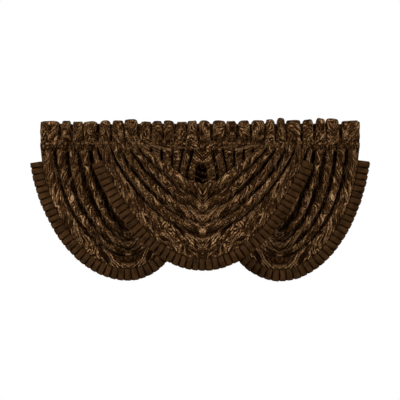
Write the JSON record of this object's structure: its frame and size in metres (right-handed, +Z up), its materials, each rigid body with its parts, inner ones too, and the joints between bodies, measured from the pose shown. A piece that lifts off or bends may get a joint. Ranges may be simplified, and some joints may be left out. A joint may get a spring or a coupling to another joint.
{
  "type": "waterfall valance",
  "caption": "Short gathered window valance: a rod-pocket heading over draped, overlapping swags, each curved hem edged with knife-pleated ribbon.",
  "frame": {"origin": "middle of the pocket's top edge, on the plane that the rod's middle hangs in", "axes": "+X to the right along the heading as seen from the room, -Y out of the front, +Z up"},
  "size_m": [1.2861, 0.0692, 0.6139],
  "materials": {
    "jacquard": "dark brown figured jacquard with bronze scrolling leaves, matte ground, soft sheen",
    "ribbon": "plain dark brown ribbed ribbon, knife-pleated, low sheen"
  },
  "bodies": {
    "root": {"heading": "jacquard", "swag_centre": "jacquard", "swag_left": "jacquard", "swag_right": "jacquard", "trim_centre": "ribbon", "trim_left": "ribbon", "trim_right": "ribbon"}
  },
  "joints": []
}
